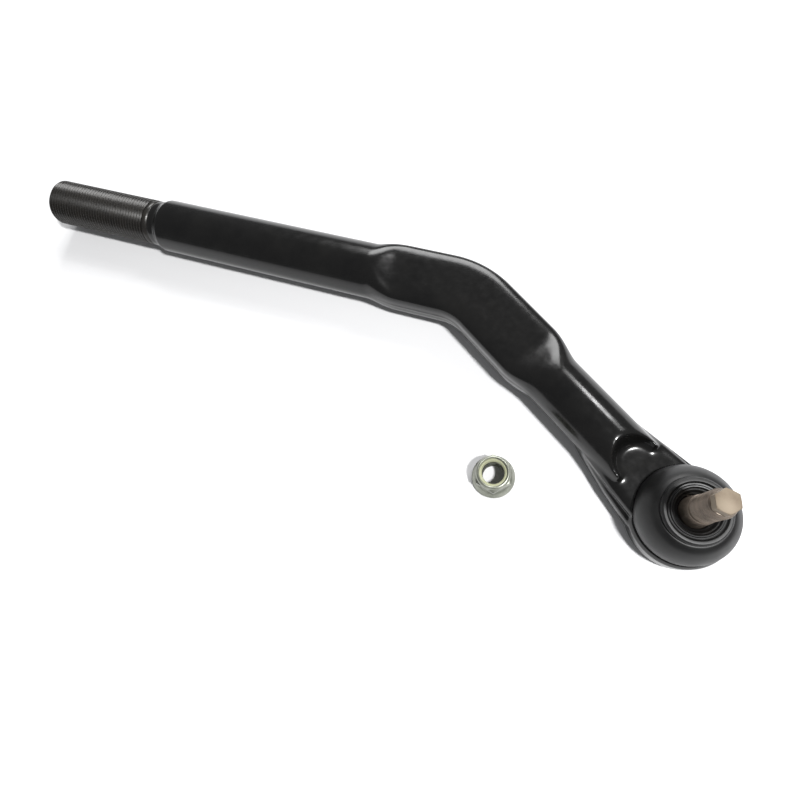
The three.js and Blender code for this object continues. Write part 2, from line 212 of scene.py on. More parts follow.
def helix(major, minor, pitch, low, high, limit, internal=False, per_turn=72):
    """Vertices and faces of a helical thread ridge about +Z from low to high.

    limit(z) gives the radius that a chamfer or run-out holds the ridge to.
    """
    shape = [
        (0.0, minor), (0.12, minor), (0.42, major),
        (0.58, major), (0.88, minor), (1.0, minor),
    ]
    turns = int(math.ceil((high - low) / pitch)) + 2
    total = turns * per_turn
    verts, faces = [], []
    for share, radius in shape:
        for i in range(total + 1):
            angle = 2 * math.pi * i / per_turn
            z = low + pitch * (i / per_turn - 1 + share)
            z = min(max(z, low), high)
            r = max(radius, limit(z)) if internal else min(radius, limit(z))
            verts.append((r * math.cos(angle), r * math.sin(angle), z))
    for k in range(len(shape) - 1):
        a, b = k * (total + 1), (k + 1) * (total + 1)
        for i in range(total):
            quad = (a + i, a + i + 1, b + i + 1, b + i)
            faces.append(quad[::-1] if internal else quad)
    return verts, faces


def loft(stations, around=64):
    """Vertices and faces of a closed tube through its sections.

    A section is (centre, direction, half width, half height, squareness).
    """
    verts, faces = [], []
    for centre, direction, w, h, n in stations:
        side = np.cross(UP, direction)
        side /= np.linalg.norm(side)
        for i in range(around):
            t = 2 * math.pi * i / around
            c, s = math.cos(t), math.sin(t)
            u = math.copysign(abs(c) ** (2 / n), c) * w
            v = math.copysign(abs(s) ** (2 / n), s) * h
            verts.append(tuple(centre + side * u + UP * v))
    for k in range(len(stations) - 1):
        for i in range(around):
            j = (i + 1) % around
            a, b = k * around, (k + 1) * around
            faces.append((a + i, a + j, b + j, b + i))
    end = (len(stations) - 1) * around
    faces.append(tuple(range(around - 1, -1, -1)))
    faces.append(tuple(range(end, end + around)))
    return verts, faces


def joined(name, *parts, smooth=True):
    """One object from several (vertices, faces) lists."""
    verts, faces = [], []
    for part_verts, part_faces in parts:
        start = len(verts)
        verts += part_verts
        faces += [tuple(start + i for i in face) for face in part_faces]
    return mesh_object(name, verts, faces, smooth)


def placed(part, rotation=None, offset=(0.0, 0.0, 0.0)):
    """(vertices, faces) turned by a 3x3 matrix and moved."""
    verts, faces = part
    co = np.array(verts, float)
    if rotation is not None:
        co = co @ np.array(rotation).T
    return [tuple(v) for v in co + np.array(offset)], faces


def bake(obj):
    """Applies the object's modifiers to its mesh."""
    graph = bpy.context.evaluated_depsgraph_get()
    mesh = bpy.data.meshes.new_from_object(obj.evaluated_get(graph))
    obj.modifiers.clear()
    obj.data = mesh
    return obj


def boolean(obj, tool, operation):
    """Combines obj with tool, bakes the result and removes the tool."""
    modifier = obj.modifiers.new("boolean", "BOOLEAN")
    modifier.operation = operation
    modifier.solver = "EXACT"
    modifier.object = tool
    bake(obj)
    bpy.data.objects.remove(tool)
    return obj


def cut(obj, tool):
    """Subtracts tool from obj."""
    return boolean(obj, tool, "DIFFERENCE")


def common(obj, tool):
    """Keeps what obj and tool share."""
    return boolean(obj, tool, "INTERSECT")


def hex_prism(across_flats, low, high, turn):
    """Vertices and faces of a hexagonal bar."""
    radius = across_flats / math.sqrt(3)
    ring = [turn + math.radians(60 * i + 30) for i in range(6)]
    verts = [(radius * math.cos(a), radius * math.sin(a), z) for z in (low, high) for a in ring]
    faces = [(i, (i + 1) % 6, 6 + (i + 1) % 6, 6 + i) for i in range(6)]
    faces += [(5, 4, 3, 2, 1, 0), (6, 7, 8, 9, 10, 11)]
    return verts, faces


def soft_edges(obj, width, angle=40):
    """Bevels sharp edges and bakes the result."""
    bevel = obj.modifiers.new("bevel", "BEVEL")
    bevel.width = width * MM
    bevel.segments = 2
    bevel.limit_method = "ANGLE"
    bevel.angle_limit = math.radians(angle)
    bake(obj)
    obj.data.shade_smooth()
    return obj


def verts_of(obj):
    """Vertex positions in millimetres, one row each."""
    co = np.zeros(len(obj.data.vertices) * 3, np.float32)
    obj.data.vertices.foreach_get("co", co)
    return co.reshape(-1, 3).astype(float) / MM


def set_verts(obj, co):
    """Moves the vertices to millimetre positions."""
    obj.data.vertices.foreach_set("co", (co * MM).astype(np.float32).ravel())
    obj.data.update()


# ---- Materials ----
def nodes_for(name):
    """A new material with its tree, its shader and object coordinates."""
    mat = bpy.data.materials.new(name)
    mat.use_nodes = True
    tree = mat.node_tree
    shader = tree.nodes["Principled BSDF"]
    coords = tree.nodes.new("ShaderNodeTexCoord")
    return mat, tree, shader, coords.outputs["Object"]


def noise(tree, coords, scale, detail=4.0, rough=0.55):
    """Fractal noise from 0 to 1."""
    node = tree.nodes.new("ShaderNodeTexNoise")
    node.inputs["Scale"].default_value = scale
    node.inputs["Detail"].default_value = detail
    node.inputs["Roughness"].default_value = rough
    tree.links.new(coords, node.inputs["Vector"])
    return node.outputs["Fac"]


def ramp(tree, fac, stops):
    """A colour ramp from (position, colour or grey) stops."""
    node = tree.nodes.new("ShaderNodeValToRGB")
    elements = node.color_ramp.elements
    while len(elements) < len(stops):
        elements.new(0.5)
    for element, (position, value) in zip(elements, stops):
        element.position = position
        colour = (value, value, value) if isinstance(value, float) else value
        element.color = (*colour, 1)
    tree.links.new(fac, node.inputs["Fac"])
    return node.outputs["Color"]


def mixed(tree, fac, a, b):
    """Colour a where fac is 0 and colour b where it is 1."""
    node = tree.nodes.new("ShaderNodeMix")
    node.data_type = "RGBA"
    for key, value in (("Factor", fac), ("A", a), ("B", b)):
        socket = node.inputs[key]
        if isinstance(value, tuple):
            socket.default_value = (*value, 1)
        elif isinstance(value, float):
            socket.default_value = value
        else:
            tree.links.new(value, socket)
    return next(o for o in node.outputs if o.name == "Result" and o.type == "RGBA")


def bump(tree, shader, height, strength, distance):
    """Adds relief of the given height in millimetres on top of any relief there is."""
    node = tree.nodes.new("ShaderNodeBump")
    node.inputs["Strength"].default_value = strength
    node.inputs["Distance"].default_value = distance * MM
    tree.links.new(height, node.inputs["Height"])
    previous = shader.inputs["Normal"].links
    if previous:
        tree.links.new(previous[0].from_socket, node.inputs["Normal"])
    tree.links.new(node.outputs["Normal"], shader.inputs["Normal"])


def axis_distance(tree, coords, point, direction):
    """Distance in metres from the line through point along X or Z."""
    shift = tree.nodes.new("ShaderNodeVectorMath")
    shift.operation = "SUBTRACT"
    shift.inputs[1].default_value = tuple(c * MM for c in point)
    tree.links.new(coords, shift.inputs[0])
    keep = tree.nodes.new("ShaderNodeVectorMath")
    keep.operation = "MULTIPLY"
    keep.inputs[1].default_value = (0, 1, 1) if direction == "X" else (1, 1, 0)
    tree.links.new(shift.outputs[0], keep.inputs[0])
    length = tree.nodes.new("ShaderNodeVectorMath")
    length.operation = "LENGTH"
    tree.links.new(keep.outputs[0], length.inputs[0])
    return length.outputs["Value"]


def rescaled(tree, value, low, high):
    """value mapped so that low gives 0 and high gives 1."""
    node = tree.nodes.new("ShaderNodeMapRange")
    node.inputs["From Min"].default_value = low
    node.inputs["From Max"].default_value = high
    tree.links.new(value, node.inputs["Value"])
    return node.outputs["Result"]


def coated_forging():
    """Glossy black electrocoat on forged steel: orange peel, uneven gloss and faint rubs."""
    mat, tree, shader, coords = nodes_for("black_electrocoat")
    blotch = noise(tree, coords, 60.0, 3.0)
    peel = noise(tree, coords, 900.0, 2.0)
    scale_marks = noise(tree, coords, 240.0, 6.0, 0.6)
    rub = noise(tree, coords, 130.0, 8.0, 0.7)
    dark = ramp(tree, blotch, [(0.3, (0.004, 0.004, 0.004)), (0.7, (0.0075, 0.0073, 0.007))])
    rubbed = ramp(tree, rub, [(0.66, 0.0), (0.78, 0.35)])
    tree.links.new(mixed(tree, rubbed, dark, (0.02, 0.02, 0.018)), shader.inputs["Base Color"])
    tree.links.new(ramp(tree, scale_marks, [(0.3, 0.15), (0.75, 0.24)]), shader.inputs["Roughness"])
    shader.inputs["Specular IOR Level"].default_value = 0.4
    bump(tree, shader, scale_marks, 0.25, 0.08)
    bump(tree, shader, peel, 0.15, 0.03)
    return mat


def oiled_thread():
    """Brown-black oiled thread whose crests are painted lighter grey as a painted highlight."""
    mat, tree, shader, coords = nodes_for("oiled_thread")
    stain = noise(tree, coords, 180.0, 5.0)
    grain = noise(tree, coords, 1600.0, 3.0)
    dark = ramp(tree, stain, [(0.3, (0.004, 0.0035, 0.003)), (0.75, (0.011, 0.0085, 0.006))])
    distance = axis_distance(tree, coords, (0, SHANK_Y, AXIS_Z), "X")
    # Crests painted lighter than the flanks: a painted highlight standing in for the light the crests catch.
    crest = rescaled(tree, distance, (THREAD_R - 0.35) * MM, (THREAD_R - 0.05) * MM)
    crest_highlight_paint = ramp(tree, crest, [(0.0, 0.0), (1.0, 0.6)])
    tree.links.new(mixed(tree, crest_highlight_paint, dark, (0.035, 0.033, 0.03)), shader.inputs["Base Color"])
    tree.links.new(ramp(tree, grain, [(0.3, 0.22), (0.7, 0.38)]), shader.inputs["Roughness"])
    shader.inputs["Metallic"].default_value = 0.2
    bump(tree, shader, grain, 0.2, 0.02)
    return mat


def rubber(name, tone, gloss_low, gloss_high):
    """Moulded black rubber: fine matt grain, slightly uneven sheen, faint bloom."""
    mat, tree, shader, coords = nodes_for(name)
    bloom = noise(tree, coords, 90.0, 4.0)
    grain = noise(tree, coords, 2600.0, 2.0)
    dark, bloomed = (tone, tone, tone * 1.02), (tone * 1.7, tone * 1.72, tone * 1.7)
    tree.links.new(ramp(tree, bloom, [(0.3, dark), (0.75, bloomed)]), shader.inputs["Base Color"])
    gloss = ramp(tree, bloom, [(0.3, gloss_low), (0.7, gloss_high)])
    tree.links.new(gloss, shader.inputs["Roughness"])
    shader.inputs["Specular IOR Level"].default_value = 0.4
    bump(tree, shader, grain, 0.25, 0.03)
    return mat


def steel(name, low, high, gloss_low, gloss_high, metallic=1.0, scale=220.0):
    """Metal with an uneven tint between two colours, fine grain and uneven gloss."""
    mat, tree, shader, coords = nodes_for(name)
    stain = noise(tree, coords, scale, 6.0, 0.6)
    grain = noise(tree, coords, 1900.0, 3.0)
    tree.links.new(ramp(tree, stain, [(0.3, low), (0.72, high)]), shader.inputs["Base Color"])
    gloss = ramp(tree, stain, [(0.25, gloss_low), (0.75, gloss_high)])
    tree.links.new(gloss, shader.inputs["Roughness"])
    shader.inputs["Metallic"].default_value = metallic
    bump(tree, shader, grain, 0.2, 0.02)
    return mat


def plastic(name, low, high, gloss, through=0.0):
    """Moulded polymer with a faint flow variation."""
    mat, tree, shader, coords = nodes_for(name)
    flow = noise(tree, coords, 140.0, 4.0)
    grain = noise(tree, coords, 1500.0, 2.0)
    tree.links.new(ramp(tree, flow, [(0.3, low), (0.7, high)]), shader.inputs["Base Color"])
    uneven = ramp(tree, grain, [(0.3, gloss - 0.08), (0.7, gloss + 0.08)])
    tree.links.new(uneven, shader.inputs["Roughness"])
    shader.inputs["Subsurface Weight"].default_value = through
    shader.inputs["Subsurface Radius"].default_value = (0.002, 0.002, 0.001)
    bump(tree, shader, grain, 0.15, 0.02)
    return mat


COATED = coated_forging()
THREAD = oiled_thread()
BOOT_RUBBER = rubber("boot_rubber", 0.0045, 0.38, 0.5)
COLLAR_RUBBER = rubber("collar_rubber", 0.004, 0.33, 0.46)
STUD_STEEL = steel("oiled_stud_steel", (0.13, 0.105, 0.085), (0.27, 0.22, 0.175), 0.28, 0.42, 0.6)
STUD_END = steel("bright_hex_steel", (0.17, 0.13, 0.09), (0.24, 0.195, 0.14), 0.5, 0.62, 0.3)
ZINC = steel("zinc_plate", (0.17, 0.18, 0.145), (0.34, 0.35, 0.3), 0.26, 0.42, 0.7)
SPRING_STEEL = steel("spring_steel", (0.25, 0.26, 0.27), (0.4, 0.41, 0.42), 0.3, 0.45)
NYLON = plastic("nylon_ring", (0.34, 0.35, 0.22), (0.44, 0.45, 0.31), 0.38, 0.2)
ACETAL = plastic("acetal_bearing", (0.72, 0.7, 0.62), (0.82, 0.8, 0.73), 0.42, 0.1)
SEAL = rubber("seal_rubber", 0.012, 0.4, 0.55)


def finish_piece(obj, material, body, node):
    """Gives a new piece its material and its body, and hides the CAD node it stands for."""
    obj.data.materials.clear()
    obj.data.materials.append(material)
    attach(obj, body)
    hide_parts(node)
    return obj


# ---- Forged arm ----
def on_shank(x, z=AXIS_Z):
    """A point over the shank's centre line."""
    return np.array([x, SHANK_Y, z])


def on_arm(r, z=AXIS_Z):
    """A point on the neck's line, r from the stud axis."""
    return np.array([-r * ARM_DIR[0], -r * ARM_DIR[1], z])


def eased(t):
    """Smooth step from 0 to 1."""
    return t * t * (3 - 2 * t)


def bar_stations():
    """Sections of the bar from the shoulder to the web, without the thread neck."""
    along = np.array([1.0, 0.0, 0.0])
    out = []
    neck = SHOULDER_X - 5.0
    neck_r = THREAD_R - 0.05
    shank = SHOULDER_X + SHOULDER_L
    shoulder = ((neck, THREAD_R - 0.6), (neck + 1.2, neck_r), (SHOULDER_X, neck_r), (shank, SHANK_R))
    for x, r in shoulder:
        out.append((on_shank(x), along, r, r, 2.0))
    steps = 24
    for i in range(1, steps + 1):
        x = shank + (FLAT_START_X - shank) * i / steps
        out.append((on_shank(x), along, SHANK_R, SHANK_R, 2.0))
    for i in range(1, steps + 1):
        t = i / steps
        s = eased(t)
        x = FLAT_START_X + (FLAT_FULL_X - FLAT_START_X) * t
        w = SHANK_R + (FLAT_W / 2 - SHANK_R) * s
        h = SHANK_R + (FLAT_T / 2 - SHANK_R) * s
        out.append((on_shank(x), along, w, h, 2 + (FLAT_SQUARE - 2) * s))
    vertex = np.array([-SHANK_Y / math.tan(BEND), SHANK_Y, AXIS_Z])
    start = vertex - along * BEND_R * math.tan(BEND / 2)
    centre = start - np.array([0.0, BEND_R, 0.0])
    bend_steps = 32
    for i in range(bend_steps + 1):
        a = BEND * i / bend_steps
        at = centre + BEND_R * np.array([math.sin(a), math.cos(a), 0.0])
        heading = np.array([math.cos(a), -math.sin(a), 0.0])
        out.append((at, heading, FLAT_W / 2, FLAT_T / 2, FLAT_SQUARE))
    for i in range(1, steps + 1):
        t = i / steps
        s = eased(t)
        w = FLAT_W / 2 + (NECK_R - FLAT_W / 2) * s
        h = FLAT_T / 2 + (NECK_R - FLAT_T / 2) * s
        at = on_arm(NECK_START + (NECK_FULL - NECK_START) * t)
        out.append((at, ARM_DIR, w, h, FLAT_SQUARE - (FLAT_SQUARE - 2) * s))
    neck_steps = 12
    for i in range(1, neck_steps + 1):
        at = on_arm(NECK_FULL + (SCOOP_AT - NECK_FULL) * i / neck_steps)
        out.append((at, ARM_DIR, NECK_R, NECK_R, 2.0))
    return out


def web_stations(top, end_w):
    """Sections of the web that widens from under the neck and ends inside the socket's outline."""
    half = (top - WEB_LOW_Z) / 2
    middle = WEB_LOW_Z + half
    out = [(on_arm(WEB_START, middle), ARM_DIR, NECK_R * 0.7, half * 0.7, FLAT_SQUARE)]
    steps = 16
    for i in range(steps + 1):
        t = i / steps
        share = 1.2 * t if t < 0.5 else 0.6 + 0.8 * (t - 0.5)
        at = on_arm(WEB_WIDE + (WEB_END - WEB_WIDE) * t, middle)
        out.append((at, ARM_DIR, NECK_R + (end_w - NECK_R) * share, half, FLAT_SQUARE))
    return out


def socket_core():
    """Outline of the socket's solid body."""
    return [
        (0, 1.3), (SOCKET_R - 0.6, 1.3, 1.0), (SOCKET_R, 3.2, 1.0), (SOCKET_R, RIM_Z - 2.6, 1.6),
        (SOCKET_R - 1.3, RIM_Z, 0.9), (STEP_R, RIM_Z, 0.5), (STEP_R, SOCKET_TOP_Z, 0.5),
        (BOSS_R, SOCKET_TOP_Z, 0.3), (BOSS_R, BOSS_Z, 0.5), (0, BOSS_Z),
    ]


def socket_bore():
    """Outline of the room for the ball and its seats."""
    bore = BALL_R + 4.1
    return [
        (0, -1), (COVER_BORE_R, -1), (COVER_BORE_R, COVER_BORE_Z), (bore, COVER_BORE_Z),
        (bore, BALL_Z + 4.1), (BALL_R * 0.9, SOCKET_TOP_Z + 0.8), (BALL_R, BOSS_Z + 1), (0, BOSS_Z + 1),
    ]


def taken_apart(obj):
    """(vertices, faces) of an object, which is removed."""
    part = [tuple(v) for v in verts_of(obj)], [tuple(p.vertices) for p in obj.data.polygons]
    bpy.data.objects.remove(obj)
    return part


def make_arm():
    """The forging: bar, web and socket merged, smoothed, and then cut for the boot and the ball."""
    above = 2.6 * AXIS_Z
    scoop = spun(filleted([
        (0, PAD_Z), (SCOOP_R - 3.5, PAD_Z, 5.0), (SCOOP_R, 31.0), (SCOOP_R, above), (0, above),
    ]), 64)
    bar = joined("bar_blank", loft(bar_stations()))
    bar = cut(bar, joined("scoop", placed(scoop, offset=on_arm(SCOOP_AT, 0.0))))
    foot_w = math.sqrt(SOCKET_R ** 2 - WEB_END ** 2) - 0.3
    web, foot = web_stations(PAD_Z, foot_w - 2.8), web_stations(FOOT_Z, foot_w)
    core = spun(filleted(socket_core()), 120)
    arm = joined("arm_forging", taken_apart(bar), loft(web), loft(foot), core)
    remesh = arm.modifiers.new("remesh", "REMESH")
    remesh.mode = "VOXEL"
    remesh.voxel_size = 0.5 * MM
    smooth = arm.modifiers.new("smooth", "SMOOTH")
    smooth.iterations = 5
    smooth.factor = 0.5
    bake(arm)
    soften_scoop(arm)
    raise_flash(arm)
    pocket_r = BOOT_R + 0.15
    pocket = spun([
        (0, BOSS_Z), (BOSS_R, BOSS_Z), (BOSS_R, SOCKET_TOP_Z), (STEP_R, SOCKET_TOP_Z),
        (STEP_R, RIM_Z), (pocket_r, RIM_Z), (pocket_r, TIP_Z), (0, TIP_Z),
    ], 120)
    cut(arm, joined("pocket", pocket))
    cut(arm, joined("bore", spun(socket_bore(), 96)))
    arm.data.shade_smooth()
    return arm


def soften_scoop(arm):
    """Rounds the step between neck and pad as a forging die leaves it."""
    co = verts_of(arm)
    away = np.linalg.norm(co[:, :2] - on_arm(SCOOP_AT)[:2], axis=1)
    share = np.clip((22.0 - away) / 5.0, 0, 1) * np.clip((co[:, 2] - PAD_Z + 4.0) / 3.0, 0, 1)
    group = arm.vertex_groups.new(name="scoop")
    for index in np.nonzero(share > 0)[0]:
        group.add([int(index)], float(share[index]), "REPLACE")
    smooth = arm.modifiers.new("smooth", "SMOOTH")
    smooth.iterations = 45
    smooth.factor = 0.6
    smooth.vertex_group = "scoop"
    bake(arm)
    arm.vertex_groups.clear()


def raise_flash(arm):
    """Lifts the trimmed parting line of the forging dies along the bar's sides."""
    co = verts_of(arm)
    normals = np.zeros(len(co) * 3, np.float32)
    arm.data.vertices.foreach_get("normal", normals)
    normals = normals.reshape(-1, 3).astype(float)
    radial = np.hypot(co[:, 0], co[:, 1])
    sideways = np.clip(1 - np.abs(normals[:, 2]) * 1.5, 0, 1)
    line = np.exp(-(((co[:, 2] - AXIS_Z) / 0.8) ** 2))
    along_bar = np.clip((co[:, 0] - FLAT_START_X - 5) / 20, 0, 1) * (radial > 30)
    ragged = 0.75 + 0.25 * np.sin(co[:, 0] * 0.9) * np.sin(co[:, 0] * 0.37 + 1.0)
    co += normals * (0.22 * sideways * line * along_bar * ragged)[:, None]
    set_verts(arm, co)


# Rotation that lays +Z along +X.
X_FROM_Z = np.array([[0, 0, 1], [0, 1, 0], [-1, 0, 0]], float)


def make_arm_thread():
    """Helical thread and its plain neck, built about +Z and laid along the shank."""
    length = SHOULDER_X - 4.0 - TIP_X
    root = THREAD_R - THREAD_DEPTH
    chamfer = 1.6
    run_out = chamfer + THREAD_TURNS * THREAD_PITCH

    def limit(z):
        return root - chamfer + 2.6 * math.sqrt(max(z, 0.0))

    ridge = helix(THREAD_R, root, THREAD_PITCH, 0.0, run_out, limit)
    core_r, neck_r = root + 0.02, THREAD_R - 0.15
    core = spun(filleted([
        (0, 0), (root - 2.4, 0, 0.6), (root - 0.6, 1.0, 0.6), (core_r, 2.6), (core_r, run_out - 1.2),
        (neck_r, run_out + 0.2, 0.4), (neck_r, length), (0, length),
    ]), 96)
    origin = (TIP_X, SHANK_Y, AXIS_Z)
    return joined("arm_thread", placed(ridge, X_FROM_Z, origin), placed(core, X_FROM_Z, origin))


def make_lip():
    """Foot ring crimped inwards over the cover's rim."""
    inner, outer, root = 15.7, 20.6, 19.0
    return turned("crimped_lip", [
        (inner, 0.2, 0.2), (inner + 0.7, -LIP_PROUD, 0.3), (outer, -LIP_PROUD, 1.2),
        (SOCKET_R - 1.4, 2.6), (root, 3.4), (root, 1.3), (inner, 1.3, 0.2),
    ], 120, True)


finish_piece(make_arm(), COATED, "housing", "forged_arm")
finish_piece(make_arm_thread(), THREAD, "housing", "forged_arm")
finish_piece(make_lip(), COATED, "housing", "forged_arm")


# ---- End cover ----
def make_cover():
    """Pressed disc with a shallow stepped dish."""
    return turned("end_cover_disc", [
        (0, 0), (9.6, 0, 0.3), (9.9, 0.25, 0.2), (10.6, 0.25, 0.2), (10.9, 0, 0.3), (14.6, 0, 0.5),
        (15.3, 0.6, 0.3), (15.3, 1.6), (18.3, 1.6), (18.3, 2.9), (0, 2.9),
    ], 120)


finish_piece(make_cover(), COATED, "housing", "end_cover")


# ---- Ball stud ----
def make_stud():
    """Ball with a flat underside, its neck, the taper and the core inside thread and hex."""
    neck_r, core_r, hex_core_r = 5.8, 5.25, 3.9
    cap = math.asin(neck_r / BALL_R)
    ball = [(BALL_R * math.sin(a), BALL_Z + BALL_R * math.cos(a))
            for a in np.linspace(math.radians(135.8), cap, 40)]
    neck_z = BALL_Z + BALL_R * math.cos(cap)
    hex_z = THREAD_TOP_Z + 0.8
    outline = [
        (0, BALL_Z - 8.6), *ball, (neck_r, neck_z + 2.6, 2.0), (7.1, 31.5, 1.2),
        (6.3, TAPER_TOP_Z, 0.3), (core_r, TAPER_TOP_Z + 0.7, 0.2), (core_r, THREAD_TOP_Z - 0.4),
        (4.8, hex_z, 0.3), (hex_core_r, hex_z), (hex_core_r, TIP_Z - 1), (0, TIP_Z - 1),
    ]
    return joined("stud_body", spun(filleted(outline), 96))


def make_stud_thread():
    """Helical thread with a chamfered end and a run-out at the taper."""
    low, high = TAPER_TOP_Z + 0.4, THREAD_TOP_Z + 0.6

    def limit(z):
        top = 4.9 + (high - z) * 0.9
        bottom = 5.3 + (z - low) * 0.7
        return min(top, bottom, STUD_R)

    return joined("stud_thread", helix(STUD_R, STUD_R - 0.72, STUD_PITCH, low, high, limit))


def make_stud_hex():
    """Hexagonal tip with its corners turned off at both ends."""
    hexagon = hex_prism(HEX_AF, THREAD_TOP_Z + 0.4, TIP_Z + 1, HEX_TURN)
    prism = joined("stud_hex", hexagon, smooth=False)
    envelope = joined("hex_envelope", spun([
        (0, THREAD_TOP_Z), (4.4, THREAD_TOP_Z + 0.5), (6.2, THREAD_TOP_Z + 2.0),
        (6.2, TIP_Z - 0.9), (HEX_AF / 2 - 0.15, TIP_Z), (0, TIP_Z),
    ], 64))
    return soft_edges(common(prism, envelope), 0.12)


finish_piece(make_stud(), STUD_STEEL, "stud", "ball_stud")
finish_piece(make_stud_thread(), STUD_STEEL, "stud", "ball_stud")
finish_piece(make_stud_hex(), STUD_END, "stud", "ball_stud")


# ---- Boot and sealing collar ----
BOOT_SPLIT_Z = 27.0
BOOT_TOP_Z = boot_high.z
BOOT_END_R = collar_high.x + 0.4
BOOT_WALL = 1.7
# Dome outline as shares of its width, measured in from the skirt, and of its height.
DOME = (
    (0.0, 0.0), (0.05, 0.16), (0.16, 0.36), (0.34, 0.58), (0.59, 0.8), (0.79, 0.92), (1.0, 1.0),
)
BOOT_OUT = [
    (BOOT_R + (BOOT_END_R - BOOT_R) * u, SOCKET_TOP_Z + (BOOT_TOP_Z - SOCKET_TOP_Z) * v)
    for u, v in DOME
]


def smooth_curve(points, steps=6):
    """Catmull-Rom curve through the points."""
    pts = [np.array(p, float) for p in points]
    pts = [2 * pts[0] - pts[1], *pts, 2 * pts[-1] - pts[-2]]
    out = []
    for i in range(1, len(pts) - 2):
        a, b, c, d = pts[i - 1:i + 3]
        for k in range(steps):
            t = k / steps
            out.append(tuple(0.5 * (2 * b + (c - a) * t + (2 * a - 5 * b + 4 * c - d) * t * t
                                    + (3 * b - a - 3 * c + d) * t ** 3)))
    out.append(tuple(pts[-2]))
    return out


def boot_halves():
    """The boot's outline split at one height into a lower and an upper half."""
    outside = smooth_curve(BOOT_OUT)
    over_bead = BOSS_Z + 1.5
    inside = [(r - BOOT_WALL * 0.8, z - BOOT_WALL * 0.5) for r, z in outside if z > over_bead]

    def split(points):
        low = [p for p in points if p[1] <= BOOT_SPLIT_Z]
        high = [p for p in points if p[1] > BOOT_SPLIT_Z]
        (r0, z0), (r1, z1) = low[-1], high[0]
        seam = (r0 + (r1 - r0) * (BOOT_SPLIT_Z - z0) / (z1 - z0), BOOT_SPLIT_Z)
        return low, high, seam

    low_out, high_out, seam_out = split(outside)
    low_in, high_in, seam_in = split(inside)
    skirt_in = STEP_R + 0.3
    base = RIM_Z + 0.3
    bead = BOSS_R + 1.4
    bead_z = SOCKET_TOP_Z + 0.3
    lower = [
        seam_in, *low_in[::-1], (bead + 0.6, BOSS_Z + 0.6), (bead, BOSS_Z - 0.2), (bead, bead_z),
        (skirt_in, bead_z), (skirt_in, base), (BOOT_R - 0.9, base), (BOOT_R - 0.2, base + 0.5),
        (BOOT_R, base + 1.2), (BOOT_R, base + 3.0), *low_out, seam_out,
    ]
    neck = BOOT_END_R - 2.1
    upper = [
        seam_out, *high_out, (neck, BOOT_TOP_Z), (neck, BOOT_TOP_Z - 1.3), *high_in[-2::-1], seam_in,
    ]
    return lower, upper


def make_boot():
    """The two halves of the boot, built as two turned pieces."""
    lower, upper = boot_halves()
    for name, outline, bodies, low, high in (
        ("boot_lower", lower, ("housing", "boot_swing"), BOSS_Z - 1, BOOT_SPLIT_Z),
        ("boot_upper", upper, ("boot_swing", "collar_swing"), BOOT_SPLIT_Z, BOOT_TOP_Z - 0.6),
    ):
        verts, faces = spun(outline, 144)
        piece = mesh_object(name, verts, faces)
        piece.data.materials.append(BOOT_RUBBER)
        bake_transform(piece)
        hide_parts("boot")


def make_collar():
    """Sealing collar: raised lip, concentric grooves and a funnel down to the stud's taper."""
    top = collar_high.z
    return turned("sealing_collar", [
        (7.5, 32.9, 0.2), (11.4, 31.4, 0.4), (11.9, 33.8, 0.2), (14.9, 33.8, 0.5),
        (14.75, top - 0.9, 0.4), (14.0, top, 0.5), (12.7, top, 0.4), (12.0, top - 1.0, 0.3),
        (11.3, top - 1.1, 0.2), (10.9, top - 0.4, 0.2), (10.3, top - 0.5, 0.2), (9.8, top - 1.5, 0.2),
        (9.2, top - 1.7, 0.2), (8.3, 33.4, 0.6), (7.4, 32.9, 0.2),
    ], 144, True)


make_boot()
finish_piece(make_collar(), COLLAR_RUBBER, "collar_swing", "boot_collar")


# ---- Flange nut ----
def make_nut():
    """Hex flange nut with a rolled crown and a helical bore."""
    hex_top = NUT_H - CROWN_H
    flange_r = nut_high.x - NUT_X
    corner_r = 12
    pocket_r = INSERT_R + 0.3
    pocket_z = hex_top - 0.6
    thread_root = NUT_BORE_R + 0.62
    hexagon = hex_prism(NUT_AF, 1.6, hex_top + 1, NUT_TURN)
    body = joined("flange_nut_body", hexagon, smooth=False)
    common(body, joined("nut_envelope", spun([
        (0, 1.2), (corner_r, 1.2), (corner_r, hex_top - 1.4), (CROWN_R - 0.2, hex_top), (0, hex_top),
    ], 72)))
    outline = [
        (NUT_BORE_R + 1.2, 0, 0.2), (flange_r - 1.0, 0, 0.5), (flange_r, 0.8, 0.5),
        (flange_r, 1.5, 0.4), (9.6, 4.4, 1.2), (CROWN_R, 5.4, 0.5), (CROWN_R, NUT_H - 1.4, 0.8),
        (CROWN_R - 0.6, NUT_H - 0.2, 0.4), (INSERT_R + 0.2, NUT_H, 0.3),
        (INSERT_R - 0.3, NUT_H - 0.3, 0.2), (INSERT_R - 0.3, NUT_H - 0.7, 0.2),
        (pocket_r, NUT_H - 1.2), (pocket_r, pocket_z), (thread_root, pocket_z), (thread_root, 0.9),
    ]
    bore_r = NUT_BORE_R + 0.7
    bore = joined("nut_bore_cut", spun([
        (0, -1), (bore_r, -1), (bore_r, pocket_z), (pocket_r, pocket_z), (pocket_r, NUT_H + 1),
        (0, NUT_H + 1),
    ], 72))
    hex_part = taken_apart(soft_edges(cut(body, bore), 0.25))

    def limit(z):
        return NUT_BORE_R + max(0.0, 0.9 - z) * 0.6

    ridge = helix(NUT_BORE_R, NUT_BORE_R + 0.66, STUD_PITCH, 0.4, pocket_z, limit, internal=True)
    offset = (NUT_X, NUT_Y, 0)
    return joined("flange_nut_body", placed(hex_part, offset=offset),
                  placed(spun(filleted(outline, True), 96, True), offset=offset), placed(ridge, offset=offset))


